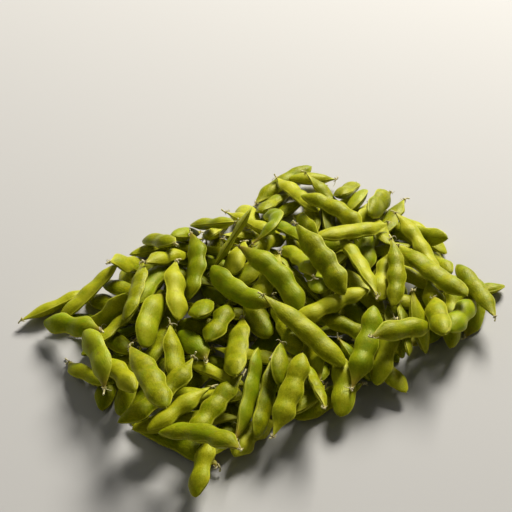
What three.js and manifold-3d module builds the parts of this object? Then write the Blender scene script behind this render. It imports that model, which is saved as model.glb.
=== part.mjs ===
// A heap of loose edamame pods: every pod is a closed solid that rests on its neighbours or on the table.
// Millimetres, +Z up, the origin on the table under the middle of the heap's box, +X along the heap.
import * as THREE from 'three';
import { mergeVertices } from 'three/addons/utils/BufferGeometryUtils.js';
import Module from 'manifold-3d';

// ---- driving dimensions -------------------------------------------------------------------------

// The kinds of pod. turn is how far the pod bends along its length, in degrees, in the plane of its
// seams.
const KINDS = {
  one_bean: { beans: 1, length: 34, width: 13.6, thickness: 9.4, turn: 12 },
  two_straight: { beans: 2, length: 47, width: 13.4, thickness: 9.2, turn: 10 },
  two_bent: { beans: 2, length: 48, width: 13.2, thickness: 9.0, turn: 34 },
  three_straight: { beans: 3, length: 58, width: 13.2, thickness: 8.8, turn: 12 },
  three_bent: { beans: 3, length: 60, width: 13.4, thickness: 9.0, turn: 46 },
  three_slim: { beans: 3, length: 57, width: 11.4, thickness: 7.6, turn: 22 },
  flat_young: { beans: 2, length: 46, width: 13.0, thickness: 5.8, turn: 18 },
  curled: { beans: 3, length: 58, width: 12.4, thickness: 8.4, turn: 128 },
};

// Places along a pod run from 0 at the calyx to 1 at the tip of the beak.
const STALK_SHARE = 0.055; // length of the stalk stub before the calyx, as a share of the pod
const BODY_START = 0.1;
const BODY_END = 0.95;
const BEAN_INSET = 0.06; // the beans' spaces start this much farther on than the body
const TAPER = 0.27; // share of the pod over which it widens from the stalk
const NECK = 0.12; // its width at the stalk, as a share of its full width
const NECK_TO_FULL = 0.88; // and how much more it has once it has widened
const BLUNT = 0.7; // where it starts to round off towards the beak
// Share of the full half width and half thickness between beans, and what a bean adds.
const WAIST_WIDTH = 0.86;
const BEAN_WIDTH = 0.14;
const WAIST_THICKNESS = 0.58;
const BEAN_THICKNESS = 0.42;
const BEAN_REACH = 0.36; // how far a bean's swelling spreads, as a share of the distance between beans
// The section's corners, as shares of half width and half thickness: a lens with an edge at each seam.
const SECTION = [
  [1, 0],
  [0.42, 0.85],
  [-0.42, 0.85],
  [-1, 0],
  [-0.42, -0.85],
  [0.42, -0.85],
];
const SIDES = SECTION.length;

const HEAP_LONG = 232; // plan of the heap while it is poured
const HEAP_SHORT = 168;
const EDGE = 5; // how far inside that plan the middle of an upper pod stays
const CELLS_LONG = 4; // the lower pods are poured into a grid of cells
const CELLS_SHORT = 3;
const PODS_PER_CELL = 7;
const SCATTER = 0.7; // how much of its cell a lower pod may be dropped in
const ROLLS = 1.6; // radians from the least roll of a lower pod to the most
const PITCHES = 0.5;
const SMALLEST = 0.92; // scale of the smallest lower pod
const SIZES = 0.16; // and how much more the largest has
const GAP = 0.4; // clearance between neighbours
const LINK = 1.4; // width of the contact patch that joins two lower pods
const THIN_BALL = 1.8; // radius under which a contact near a pod's end is worth less
const THIN_COST = 2; // mm that it counts as farther
const LINK_ROUNDS = [1.2, 3, 8, 30]; // mm apart that pods may be joined in each round

// ---- one pod ------------------------------------------------------------------------------------

const bump = (x) => Math.exp(-x * x);

const beanCentre = (kind, k) =>
  BODY_START + BEAN_INSET + (k + 0.5) * ((BODY_END - BODY_START - BEAN_INSET) / kind.beans);

// How full the pod is at s: 1 over a bean, towards 0 between beans.
function fullness(kind, s) {
  const pitch = (BODY_END - BODY_START) / kind.beans;
  let sum = 0;
  for (let k = 0; k < kind.beans; k++) sum += bump((s - beanCentre(kind, k)) / (BEAN_REACH * pitch));
  return Math.min(1, sum);
}

// The outline: a taper from the stalk, a blunt far end and a short beak.
function envelope(s) {
  const near = Math.min(1, Math.max(0, (s + 0.02) / TAPER));
  const far = Math.max(0, (s - BLUNT) / (1.0 - BLUNT));
  const taper = NECK + NECK_TO_FULL * Math.pow(Math.sin((near * Math.PI) / 2), 1.2);
  return taper * Math.sqrt(Math.max(0.01, 1 - Math.pow(far, 2.6)));
}

const halfWidth = (kind, s) =>
  (kind.width / 2) * envelope(s) * (WAIST_WIDTH + BEAN_WIDTH * fullness(kind, s));
const halfThickness = (kind, s) =>
  (kind.thickness / 2) * envelope(s) * (WAIST_THICKNESS + BEAN_THICKNESS * fullness(kind, s));

// A point of the pod's middle line and its sideways direction, in the pod's own frame.
function spine(kind, s) {
  const turn = THREE.MathUtils.degToRad(kind.turn);
  const angle = turn * (s - 0.5);
  const radius = kind.length / turn;
  const middle = radius * (1 - (2 / turn) * Math.sin(turn / 2));
  return {
    point: new THREE.Vector3(radius * Math.sin(angle), radius * (1 - Math.cos(angle)) - middle, 0),
    side: new THREE.Vector3(-Math.sin(angle), Math.cos(angle), 0),
  };
}

// Where the rings of the faceted pod are: calyx, shoulder, each bean and each waist, and the far end.
function stations(kind) {
  const list = [0, BODY_START + 0.02];
  for (let k = 0; k < kind.beans; k++) {
    list.push(beanCentre(kind, k));
    if (k + 1 < kind.beans) list.push((beanCentre(kind, k) + beanCentre(kind, k + 1)) / 2);
  }
  list.push(BODY_END);
  return list;
}

function podGeometry(kind) {
  const rings = stations(kind);
  const up = new THREE.Vector3(0, 0, 1);
  const points = [];
  for (const s of rings) {
    const { point, side } = spine(kind, s);
    for (const [across, rise] of SECTION) {
      points.push(
        point
          .clone()
          .addScaledVector(side, halfWidth(kind, s) * across)
          .addScaledVector(up, halfThickness(kind, s) * rise),
      );
    }
  }
  const stalk = points.push(spine(kind, -STALK_SHARE).point) - 1;
  const beak = points.push(spine(kind, 1).point) - 1;
  const faces = [];
  for (let r = 0; r + 1 < rings.length; r++) {
    for (let k = 0; k < SIDES; k++) {
      const a = r * SIDES + k;
      const b = r * SIDES + ((k + 1) % SIDES);
      faces.push(a, b, a + SIDES, b, b + SIDES, a + SIDES);
    }
  }
  const last = (rings.length - 1) * SIDES;
  for (let k = 0; k < SIDES; k++) {
    const next = (k + 1) % SIDES;
    faces.push(stalk, next, k, beak, last + k, last + next);
  }
  return new THREE.BufferGeometry().setFromPoints(points).setIndex(faces);
}

// Balls that fill the pod: one in the middle at each step, and a smaller one towards each seam.
function podBalls(kind, scale) {
  const SEAM_SHARE = 0.7; // radius of a ball at a seam, against the one in the middle
  const FLAT = 1.2; // a pod this much wider than thick needs balls at its seams
  const LEAST = 0.45; // radius at the very ends
  const STRIDE = 0.7; // from one ball to the next, against their radius
  const LEAST_STRIDE = 0.9; // mm
  const balls = [];
  for (let s = -STALK_SHARE; s < 1; ) {
    const { point, side } = spine(kind, s);
    const start = s < 0 ? 1 + s / STALK_SHARE : 1;
    const end = s > BODY_END ? (1 - s) / (1 - BODY_END) : 1;
    const inBody = Math.min(BODY_END, Math.max(0, s));
    const t = Math.max(LEAST, halfThickness(kind, inBody) * scale * start * end);
    const w = halfWidth(kind, inBody) * scale * start * end;
    const put = (offset, r) => {
      const at = point.clone().multiplyScalar(scale).addScaledVector(side, offset);
      balls.push({ at, r: r + GAP / 2 });
    };
    put(0, t);
    if (w > FLAT * t) {
      put(w - SEAM_SHARE * t, SEAM_SHARE * t);
      put(SEAM_SHARE * t - w, SEAM_SHARE * t);
    }
    s += Math.max(LEAST_STRIDE, STRIDE * t) / (kind.length * scale);
  }
  return balls;
}

// ---- the upper pods -----------------------------------------------------------------------------

// The viewpoint that the upper pods are laid out from: a square view of size units a side.
const VIEW = {
  size: 512,
  focal: 1430,
  azimuth: -38.9,
  elevation: 39.6,
  distance: 887,
  target: [16, 45, 24],
};
const SURFACE = 26; // height of the upper pods at the heap's edge, and how much more at its middle
const CROWN = 12;
const MOST_TILT = 26; // degrees

// For each pod: its kind, where its stalk end and far end are in the view, its scale, which side bulges
// as one goes from the stalk (1 right, -1 left), and its roll in degrees (0 lies on its flat side, 90
// stands on a seam).
const NESTLED = [
  { name: 'three_straight', stalk: [75, 332], far: [122, 285], scale: 1, bulge: 1, roll: 10 },
  { name: 'two_straight', stalk: [147, 362], far: [127, 408], scale: 1, bulge: 1, roll: 20 },
  { name: 'one_bean', stalk: [117, 348], far: [132, 363], scale: 1, bulge: 1, roll: 0 },
  { name: 'two_straight', stalk: [117, 373], far: [146, 380], scale: 1, bulge: -1, roll: 20 },
  { name: 'flat_young', stalk: [137, 330], far: [113, 350], scale: 0.85, bulge: 1, roll: 50 },
  { name: 'one_bean', stalk: [201, 241], far: [174, 246], scale: 0.95, bulge: 1, roll: 20 },
  { name: 'two_straight', stalk: [160, 278], far: [192, 268], scale: 0.9, bulge: -1, roll: 30 },
  { name: 'two_straight', stalk: [214, 214], far: [207, 244], scale: 1, bulge: 1, roll: 10 },
  { name: 'one_bean', stalk: [272, 281], far: [250, 293], scale: 1.1, bulge: 1, roll: 0 },
  { name: 'two_straight', stalk: [282, 272], far: [272, 313], scale: 1, bulge: 1, roll: 30 },
  { name: 'two_straight', stalk: [322, 278], far: [332, 306], scale: 1, bulge: -1, roll: 20 },
  { name: 'two_straight', stalk: [305, 227], far: [334, 238], scale: 1, bulge: -1, roll: 40 },
  { name: 'flat_young', stalk: [403, 226], far: [364, 232], scale: 1, bulge: 1, roll: 20 },
  { name: 'flat_young', stalk: [411, 202], far: [402, 234], scale: 1, bulge: 1, roll: 10 },
  { name: 'three_slim', stalk: [445, 303], far: [404, 275], scale: 0.9, bulge: 1, roll: 70 },
  { name: 'two_straight', stalk: [432, 300], far: [458, 314], scale: 1, bulge: -1, roll: 20 },
  { name: 'three_straight', stalk: [507, 309], far: [468, 287], scale: 0.95, bulge: 1, roll: 10 },
  { name: 'two_bent', stalk: [322, 206], far: [362, 222], scale: 1, bulge: -1, roll: 10 },
  { name: 'two_straight', stalk: [378, 278], far: [374, 247], scale: 1, bulge: 1, roll: 20 },
  { name: 'flat_young', stalk: [391, 232], far: [397, 262], scale: 0.85, bulge: 1, roll: 40 },
  { name: 'one_bean', stalk: [358, 224], far: [371, 209], scale: 1, bulge: 1, roll: 0 },
  { name: 'two_straight', stalk: [341, 335], far: [377, 342], scale: 1, bulge: -1, roll: 50 },
  { name: 'two_straight', stalk: [402, 315], far: [404, 366], scale: 1, bulge: 1, roll: 50 },
  { name: 'three_slim', stalk: [414, 319], far: [411, 356], scale: 0.9, bulge: 1, roll: 70 },
  { name: 'two_straight', stalk: [494, 317], far: [461, 318], scale: 1, bulge: 1, roll: 10 },
  { name: 'two_bent', stalk: [352, 370], far: [357, 403], scale: 1, bulge: -1, roll: 20 },
  { name: 'one_bean', stalk: [218, 360], far: [190, 359], scale: 1, bulge: 1, roll: 0 },
  { name: 'two_straight', stalk: [228, 458], far: [204, 479], scale: 0.95, bulge: 1, roll: 40 },
  { name: 'two_straight', stalk: [209, 387], far: [246, 391], scale: 0.95, bulge: -1, roll: 10 },
  { name: 'two_straight', stalk: [243, 322], far: [215, 352], scale: 1, bulge: -1, roll: 0 },
  { name: 'one_bean', stalk: [280, 311], far: [263, 340], scale: 1.15, bulge: 1, roll: 0 },
  { name: 'three_straight', stalk: [284, 312], far: [307, 364], scale: 1, bulge: -1, roll: 10 },
  { name: 'three_slim', stalk: [335, 410], far: [325, 379], scale: 0.85, bulge: 1, roll: 60 },
  { name: 'one_bean', stalk: [329, 398], far: [311, 414], scale: 1, bulge: 1, roll: 20 },
  { name: 'three_slim', stalk: [281, 372], far: [277, 432], scale: 1, bulge: 1, roll: 70 },
  { name: 'one_bean', stalk: [219, 312], far: [203, 338], scale: 1.1, bulge: 1, roll: 30 },
  { name: 'one_bean', stalk: [285, 361], far: [299, 389], scale: 1, bulge: 1, roll: 10 },
];
const TOPMOST = [
  { name: 'two_straight', stalk: [113, 340], far: [62, 331], scale: 1.05, bulge: 1, roll: 0 },
  { name: 'two_bent', stalk: [119, 377], far: [90, 342], scale: 1.05, bulge: 1, roll: 10 },
  { name: 'three_slim', stalk: [157, 277], far: [128, 326], scale: 1, bulge: -1, roll: 70 },
  { name: 'flat_young', stalk: [116, 283], far: [158, 276], scale: 1, bulge: -1, roll: 30 },
  { name: 'two_straight', stalk: [184, 290], far: [139, 314], scale: 1.05, bulge: 1, roll: 10 },
  { name: 'two_bent', stalk: [178, 306], far: [143, 345], scale: 1.1, bulge: 1, roll: 0 },
  { name: 'two_straight', stalk: [187, 258], far: [155, 250], scale: 0.95, bulge: 1, roll: 10 },
  { name: 'one_bean', stalk: [241, 223], far: [229, 200], scale: 1.15, bulge: 1, roll: 20 },
  { name: 'two_bent', stalk: [303, 204], far: [262, 222], scale: 1, bulge: 1, roll: 10 },
  { name: 'three_straight', stalk: [288, 193], far: [324, 217], scale: 1, bulge: -1, roll: 10 },
  { name: 'three_bent', stalk: [371, 232], far: [324, 211], scale: 0.95, bulge: 1, roll: 10 },
  { name: 'two_straight', stalk: [369, 190], far: [350, 212], scale: 1, bulge: 1, roll: 20 },
  { name: 'two_straight', stalk: [399, 193], far: [379, 226], scale: 1.05, bulge: 1, roll: 10 },
  { name: 'three_straight', stalk: [331, 251], far: [286, 238], scale: 0.95, bulge: 1, roll: 10 },
  { name: 'two_straight', stalk: [241, 239], far: [209, 234], scale: 0.95, bulge: 1, roll: 0 },
  { name: 'three_straight', stalk: [392, 232], far: [337, 238], scale: 1, bulge: -1, roll: 10 },
  { name: 'three_slim', stalk: [395, 234], far: [447, 263], scale: 1.1, bulge: -1, roll: 50 },
  { name: 'two_straight', stalk: [246, 229], far: [278, 238], scale: 1, bulge: -1, roll: 0 },
  { name: 'flat_young', stalk: [233, 273], far: [248, 234], scale: 1.05, bulge: 1, roll: 30 },
  { name: 'one_bean', stalk: [259, 262], far: [236, 278], scale: 1, bulge: 1, roll: 0 },
  { name: 'three_slim', stalk: [334, 288], far: [297, 258], scale: 1, bulge: 1, roll: 20 },
  { name: 'two_straight', stalk: [397, 258], far: [396, 313], scale: 1.12, bulge: 1, roll: 0 },
  { name: 'three_slim', stalk: [399, 260], far: [411, 313], scale: 1, bulge: -1, roll: 60 },
  { name: 'three_slim', stalk: [381, 319], far: [361, 246], scale: 1.12, bulge: 1, roll: 50 },
  { name: 'three_straight', stalk: [407, 244], far: [477, 303], scale: 1.12, bulge: 1, roll: 0 },
  { name: 'two_straight', stalk: [430, 266], far: [465, 283], scale: 0.95, bulge: -1, roll: 10 },
  { name: 'one_bean', stalk: [424, 306], far: [428, 344], scale: 1.15, bulge: 1, roll: 10 },
  { name: 'two_straight', stalk: [459, 301], far: [450, 339], scale: 0.95, bulge: 1, roll: 50 },
  { name: 'two_straight', stalk: [412, 346], far: [453, 341], scale: 0.95, bulge: -1, roll: 40 },
  { name: 'three_straight', stalk: [314, 320], far: [372, 318], scale: 0.98, bulge: -1, roll: 0 },
  { name: 'two_straight', stalk: [400, 333], far: [391, 384], scale: 1, bulge: 1, roll: 20 },
  { name: 'three_straight', stalk: [366, 390], far: [389, 313], scale: 1.05, bulge: 1, roll: 40 },
  { name: 'two_straight', stalk: [180, 345], far: [186, 393], scale: 1, bulge: 1, roll: 20 },
  { name: 'two_bent', stalk: [283, 437], far: [244, 449], scale: 0.9, bulge: 1, roll: 0 },
  { name: 'three_straight', stalk: [241, 388], far: [216, 434], scale: 0.98, bulge: 1, roll: 0 },
  { name: 'three_slim', stalk: [241, 442], far: [280, 362], scale: 1.18, bulge: 1, roll: 70 },
  { name: 'three_straight', stalk: [284, 422], far: [321, 363], scale: 1, bulge: 1, roll: 10 },
  { name: 'three_straight', stalk: [248, 310], far: [252, 396], scale: 1.12, bulge: 1, roll: 0 },
  { name: 'three_bent', stalk: [204, 368], far: [146, 424], scale: 1.08, bulge: -1, roll: 0 },
  { name: 'three_bent', stalk: [248, 459], far: [164, 442], scale: 1.08, bulge: 1, roll: 0 },
  { name: 'three_bent', stalk: [283, 312], far: [227, 274], scale: 1, bulge: -1, roll: 0 },
  { name: 'two_straight', stalk: [187, 257], far: [184, 336], scale: 1.15, bulge: 1, roll: 0 },
  { name: 'three_bent', stalk: [203, 243], far: [206, 312], scale: 1, bulge: -1, roll: 0 },
  { name: 'curled', stalk: [272, 242], far: [280, 217], scale: 0.95, bulge: 1, roll: 0 },
  { name: 'three_bent', stalk: [256, 254], far: [313, 316], scale: 1.08, bulge: -1, roll: 0 },
  { name: 'three_straight', stalk: [134, 343], far: [170, 403], scale: 1.1, bulge: -1, roll: 0 },
  { name: 'three_straight', stalk: [325, 220], far: [350, 293], scale: 1.12, bulge: -1, roll: 0 },
  { name: 'three_straight', stalk: [284, 298], far: [357, 367], scale: 1.15, bulge: -1, roll: 0 },
];

// The direction from the viewpoint through a place in the view, and the viewpoint itself.
function viewpoint() {
  const azimuth = THREE.MathUtils.degToRad(VIEW.azimuth);
  const elevation = THREE.MathUtils.degToRad(VIEW.elevation);
  const back = new THREE.Vector3(
    Math.sin(azimuth) * Math.cos(elevation),
    -Math.cos(azimuth) * Math.cos(elevation),
    Math.sin(elevation),
  );
  const eye = new THREE.Vector3(...VIEW.target).addScaledVector(back, VIEW.distance);
  const right = new THREE.Vector3(-back.y, back.x, 0).normalize();
  const up = new THREE.Vector3().crossVectors(back, right);
  const ray = (x, y) =>
    back
      .clone()
      .multiplyScalar(-VIEW.focal)
      .addScaledVector(right, x - VIEW.size / 2)
      .addScaledVector(up, VIEW.size / 2 - y)
      .normalize();
  return { eye, ray };
}

// Where a pod of the list lies: its middle, and its turn.
function laidOut({ name, stalk, far, scale, bulge, roll }) {
  const { eye, ray } = viewpoint();
  const kind = KINDS[name];
  const middleRay = ray((stalk[0] + far[0]) / 2, (stalk[1] + far[1]) / 2);
  let height = SURFACE;
  const at = new THREE.Vector3();
  for (let k = 0; k < 3; k++) {
    at.copy(eye).addScaledVector(middleRay, (height - eye.z) / middleRay.z);
    const outward = Math.hypot(at.x / (HEAP_LONG / 2), at.y / (HEAP_SHORT / 2));
    height = SURFACE + CROWN * (1 - outward * outward);
  }
  const depth = at.distanceTo(eye);
  const toStalk = ray(...stalk);
  const toFar = ray(...far);
  // Far end minus stalk end is across + lean * along; lean is chosen so that its length is the pod's.
  const across = toFar.clone().sub(toStalk).multiplyScalar(depth);
  const along = toFar.clone().add(toStalk);
  const a = along.dot(along);
  const b = across.dot(along);
  const c = across.dot(across) - (kind.length * scale) ** 2;
  const root = Math.sqrt(Math.max(0, b * b - a * c));
  const leaning = (lean) => across.clone().addScaledVector(along, lean);
  const choices = [leaning((-b + root) / a), leaning((-b - root) / a)];
  choices.sort((p, q) => Math.abs(p.z) / p.length() - Math.abs(q.z) / q.length());
  const axis = choices[0].normalize();
  const steepest = Math.sin(THREE.MathUtils.degToRad(MOST_TILT));
  axis.z = THREE.MathUtils.clamp(axis.z, -steepest, steepest);
  axis.normalize();
  const side = new THREE.Vector3(0, 0, 1).cross(axis).normalize();
  const up = new THREE.Vector3().crossVectors(axis, side);
  const axes = new THREE.Matrix4().makeBasis(axis, side, up);
  const turn = new THREE.Quaternion().setFromRotationMatrix(axes);
  const rolled = THREE.MathUtils.degToRad(roll) + (bulge < 0 ? Math.PI : 0);
  turn.multiply(new THREE.Quaternion().setFromAxisAngle(new THREE.Vector3(1, 0, 0), rolled));
  return { name, kind, scale, at, turn, hold: { eye, ray: middleRay, turn: turn.clone(), grip: GRIP } };
}

// ---- how the pods come to rest ------------------------------------------------------------------

const STEP = 1 / 400; // seconds
const GRAVITY = 2500; // mm/s2: gentle, so that the pods settle without a rebound
const FRICTION = 0.8;
const FASTEST = 150; // mm/s
const SLOW = 8; // mm/s, for a pod that has nearly come to rest
const RISE = 15; // mm/s, the fastest upwards
const SPIN = 8; // rad/s
const PASSES = 3; // over the contacts in each step
const FIRMNESS = 0.9; // share of an overlap that one pass undoes
const MOST_PUSH = 0.3; // mm in one pass, between pods
const WALL_PUSH = 0.04; // and from a wall
const NO_SKID = 1e-6; // mm: friction leaves a slide shorter than this alone
const REACH = 80; // how far from a pod being laid the others may move
const LONGEST = 75; // pods whose middles are farther apart than this can't touch
const BALL_CELL = 11.5; // at least the largest ball's diameter
const WEIGHT_UNIT = 5000; // mm3 of a pod's length by width by thickness: only the pods' shares matter
const GRIP = 0.08; // share of the way back to its line of sight that a pod being laid goes in each step
const LOOSE_GRIP = 0.03; // the same, while all of them settle
const TURN_EASE = 3; // a pod's heading and roll are held this much less firmly

// Seconds for each stage.
const POURING = 0.5;
const LAYING = 0.03; // for each pod
const GRIPPED = 0.1;
const LOOSELY_GRIPPED = 0.9;
const FREE = 0.25;
const PARTING = 0.3; // neighbours only move apart
// Share of its speed that a pod keeps from step to step.
const KEPT_POURING = 0.985;
const KEPT = 0.93;
const KEPT_FREE = 0.92;
const KEPT_SLOW = 0.8; // at most this, once it is slow

const GRID = { x: 36, y: 28, z: 14 }; // cells of the space in which contacts are looked for

const cellOf = (x, cells, zero) => Math.min(cells - 2, Math.max(1, Math.floor(x / BALL_CELL + zero)));

class Heap {
  constructor() {
    this.pods = [];
  }

  add({ name, kind, scale, at, turn, hold = null, top = false }) {
    const w = (kind.width * scale) / 2;
    const t = (kind.thickness * scale) / 2;
    const l = (kind.length * scale) / 2;
    const pod = {
      name,
      kind,
      scale,
      at: at.clone(),
      turn: turn.clone(),
      hold,
      top,
      speed: new THREE.Vector3(),
      spin: new THREE.Vector3(),
      balls: podBalls(kind, scale),
      weight: (kind.length * kind.width * kind.thickness * scale ** 3) / WEIGHT_UNIT,
      inertia: [w * w + t * t, l * l + t * t, l * l + w * w].map((x) => x / 4),
    };
    pod.local = pod.balls.map((ball) => ball.at);
    pod.arm = new Float64Array(pod.balls.length * 3);
    this.pods.push(pod);
    return pod;
  }

  // Moves every pod by one step: gravity, then contacts with the table, the walls and each other.
  // With near given, only the pods around it move.
  step({ walls = false, gravity = GRAVITY, damping = KEPT_POURING, near = null }) {
    const turnMatrix = new THREE.Matrix4();
    const away = (pod) => (near ? Math.hypot(pod.at.x - near.at.x, pod.at.y - near.at.y) : 0);
    const around = this.pods.filter((pod) => away(pod) < 2 * REACH);
    for (const pod of around) {
      pod.fixed = away(pod) > REACH;
      pod.was = pod.at.clone();
      pod.turnWas = pod.turn.clone();
      if (!pod.fixed) {
        pod.speed.z -= gravity * STEP;
        pod.speed.clampLength(0, FASTEST);
        pod.speed.z = Math.min(pod.speed.z, RISE);
        pod.spin.clampLength(0, SPIN);
        pod.at.addScaledVector(pod.speed, STEP);
        turnBy(pod.turn, pod.spin.x * STEP, pod.spin.y * STEP, pod.spin.z * STEP);
        if (pod.hold) holdTo(pod);
      }
      turnMatrix.makeRotationFromQuaternion(pod.turn);
      const m = turnMatrix.elements;
      pod.balls.forEach(({ at: p }, k) => {
        pod.arm[3 * k] = m[0] * p.x + m[4] * p.y + m[8] * p.z;
        pod.arm[3 * k + 1] = m[1] * p.x + m[5] * p.y + m[9] * p.z;
        pod.arm[3 * k + 2] = m[2] * p.x + m[6] * p.y + m[10] * p.z;
      });
      pod.ease = pod.fixed ? 0 : 1 / pod.weight;
      pod.inverse = inverseInertia(m, pod.inertia, pod.ease);
      pod.moved = pod.at.clone().sub(pod.was).toArray(); // motion in this step, before corrections
      const q = pod.turn.clone().multiply(pod.turnWas.clone().conjugate());
      const sign = q.w < 0 ? -2 : 2;
      pod.turned = [q.x * sign, q.y * sign, q.z * sign];
      pod.shift = [0, 0, 0];
      pod.twist = [0, 0, 0];
    }
    const contacts = this.contacts(around, walls);
    for (let pass = 0; pass < PASSES; pass++) contacts.forEach(resolve);
    for (const pod of around) {
      if (pod.fixed) continue;
      pod.at.x += pod.shift[0];
      pod.at.y += pod.shift[1];
      pod.at.z += pod.shift[2];
      turnBy(pod.turn, ...pod.twist);
      pod.speed.subVectors(pod.at, pod.was).multiplyScalar(1 / STEP);
      const q = pod.turn.clone().multiply(pod.turnWas.clone().conjugate());
      pod.spin.set(q.x, q.y, q.z).multiplyScalar((q.w < 0 ? -2 : 2) / STEP);
      const drag = pod.speed.length() < SLOW ? Math.min(damping, KEPT_SLOW) : damping;
      pod.speed.multiplyScalar(drag);
      pod.spin.multiplyScalar(drag);
    }
  }

  // Every place where two balls of different pods, or a ball and the table or a wall, reach into each
  // other.
  contacts(pods, walls) {
    const found = [];
    const heads = new Int32Array(GRID.x * GRID.y * GRID.z).fill(-1);
    const entries = [];
    for (const pod of pods) {
      for (let k = 0; k < pod.balls.length; k++) {
        const r = pod.balls[k].r;
        const x = pod.at.x + pod.arm[3 * k];
        const y = pod.at.y + pod.arm[3 * k + 1];
        const z = pod.at.z + pod.arm[3 * k + 2];
        if (z < r && !pod.fixed) found.push({ a: pod, k, n: [0, 0, 1], reach: r - z, pressed: 0 });
        if (walls && !pod.fixed) {
          const overX = Math.abs(x) + r - HEAP_LONG / 2;
          const overY = Math.abs(y) + r - HEAP_SHORT / 2;
          const atWall = (n, reach) => found.push({ a: pod, k, n, reach, pressed: 0, wall: true });
          if (overX > 0) atWall([-Math.sign(x), 0, 0], overX);
          if (overY > 0) atWall([0, -Math.sign(y), 0], overY);
        }
        const cx = cellOf(x, GRID.x, GRID.x / 2);
        const cy = cellOf(y, GRID.y, GRID.y / 2);
        const cz = cellOf(z, GRID.z, 1);
        for (let i = cx - 1; i <= cx + 1; i++) {
          for (let j = cy - 1; j <= cy + 1; j++) {
            for (let l = cz - 1; l <= cz + 1; l++) {
              let e = heads[(i * GRID.y + j) * GRID.z + l];
              for (; e >= 0; e = entries[e].next) {
                const other = entries[e];
                if (other.pod === pod || (other.pod.fixed && pod.fixed)) continue;
                const dx = x - other.x;
                const dy = y - other.y;
                const dz = z - other.z;
                const reach = r + other.r;
                const d2 = dx * dx + dy * dy + dz * dz;
                if (d2 >= reach * reach || d2 === 0) continue;
                const d = Math.sqrt(d2);
                const n = [dx / d, dy / d, dz / d];
                found.push({ a: pod, k, b: other.pod, kb: other.k, n, reach: reach - d, pressed: 0 });
              }
            }
          }
        }
        const cell = (cx * GRID.y + cy) * GRID.z + cz;
        entries.push({ pod, k, x, y, z, r, next: heads[cell] });
        heads[cell] = entries.length - 1;
      }
    }
    return found;
  }

  run(seconds, options = {}) {
    for (let k = 0; k < seconds / STEP; k++) this.step(options);
  }

  // Lowers a new pod straight down on what is already there.
  lay(pod) {
    const arms = podArms(pod);
    const away = (other) => Math.hypot(other.at.x - pod.at.x, other.at.y - pod.at.y);
    let rest = -Infinity;
    pod.balls.forEach((ball, k) => {
      const x = pod.at.x + arms[k].x;
      const y = pod.at.y + arms[k].y;
      rest = Math.max(rest, ball.r - arms[k].z);
      for (const other of this.pods) {
        if (other === pod || away(other) > LONGEST) continue;
        const theirs = podArms(other);
        other.balls.forEach((mate, m) => {
          const across = (other.at.x + theirs[m].x - x) ** 2 + (other.at.y + theirs[m].y - y) ** 2;
          const reach = (mate.r + ball.r) ** 2 - across;
          if (reach > 0) rest = Math.max(rest, other.at.z + theirs[m].z + Math.sqrt(reach) - arms[k].z);
        });
      }
    });
    pod.at.z = rest;
  }
}

// Where a pod's balls are, from its middle.
const podArms = (pod) => pod.balls.map((ball) => ball.at.clone().applyQuaternion(pod.turn));

function turnBy(turn, x, y, z) {
  const q = new THREE.Quaternion(x / 2, y / 2, z / 2, 0).multiply(turn);
  turn.set(turn.x + q.x, turn.y + q.y, turn.z + q.z, turn.w + q.w).normalize();
}

// Brings a pod's middle towards its line of sight, at the height that it has, inside the heap's edge.
function toSight(pod, share) {
  const { eye, ray } = pod.hold;
  const reach = (pod.at.z - eye.z) / ray.z;
  const x = THREE.MathUtils.clamp(eye.x + ray.x * reach, EDGE - HEAP_LONG / 2, HEAP_LONG / 2 - EDGE);
  const y = THREE.MathUtils.clamp(eye.y + ray.y * reach, EDGE - HEAP_SHORT / 2, HEAP_SHORT / 2 - EDGE);
  pod.at.x += (x - pod.at.x) * share;
  pod.at.y += (y - pod.at.y) * share;
}

// A pod being laid down keeps to its line of sight, and to most of its heading and roll.
function holdTo(pod) {
  toSight(pod, pod.hold.grip);
  pod.turn.slerp(pod.hold.turn, pod.hold.grip / TURN_EASE);
}

// The inverse of a pod's moment of inertia in the heap's axes, as six numbers.
function inverseInertia(m, inertia, ease) {
  const out = [0, 0, 0, 0, 0, 0]; // xx yy zz xy xz yz
  for (let k = 0; k < 3; k++) {
    const x = m[4 * k];
    const y = m[4 * k + 1];
    const z = m[4 * k + 2];
    const w = ease / inertia[k];
    out[0] += w * x * x;
    out[1] += w * y * y;
    out[2] += w * z * z;
    out[3] += w * x * y;
    out[4] += w * x * z;
    out[5] += w * y * z;
  }
  return out;
}

// How a push along n at arm r moves a pod: its give, and the twist that it makes.
function response(pod, r, n) {
  const x = r[1] * n[2] - r[2] * n[1];
  const y = r[2] * n[0] - r[0] * n[2];
  const z = r[0] * n[1] - r[1] * n[0];
  const i = pod.inverse;
  const twist = [
    i[0] * x + i[3] * y + i[4] * z,
    i[3] * x + i[1] * y + i[5] * z,
    i[4] * x + i[5] * y + i[2] * z,
  ];
  return { give: pod.ease + x * twist[0] + y * twist[1] + z * twist[2], twist };
}

function push(pod, n, twist, amount) {
  for (let k = 0; k < 3; k++) {
    pod.shift[k] += n[k] * amount * pod.ease;
    pod.twist[k] += twist[k] * amount;
  }
}

// How far the pod's point at arm r has been displaced: by corrections alone, or in the whole step.
function displacement(pod, r, whole) {
  const s = whole ? pod.shift.map((v, k) => v + pod.moved[k]) : pod.shift;
  const t = whole ? pod.twist.map((v, k) => v + pod.turned[k]) : pod.twist;
  return [
    s[0] + t[1] * r[2] - t[2] * r[1],
    s[1] + t[2] * r[0] - t[0] * r[2],
    s[2] + t[0] * r[1] - t[1] * r[0],
  ];
}

const dot = (p, q) => p[0] * q[0] + p[1] * q[1] + p[2] * q[2];
const armOf = (pod, k) => [pod.arm[3 * k], pod.arm[3 * k + 1], pod.arm[3 * k + 2]];

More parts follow.
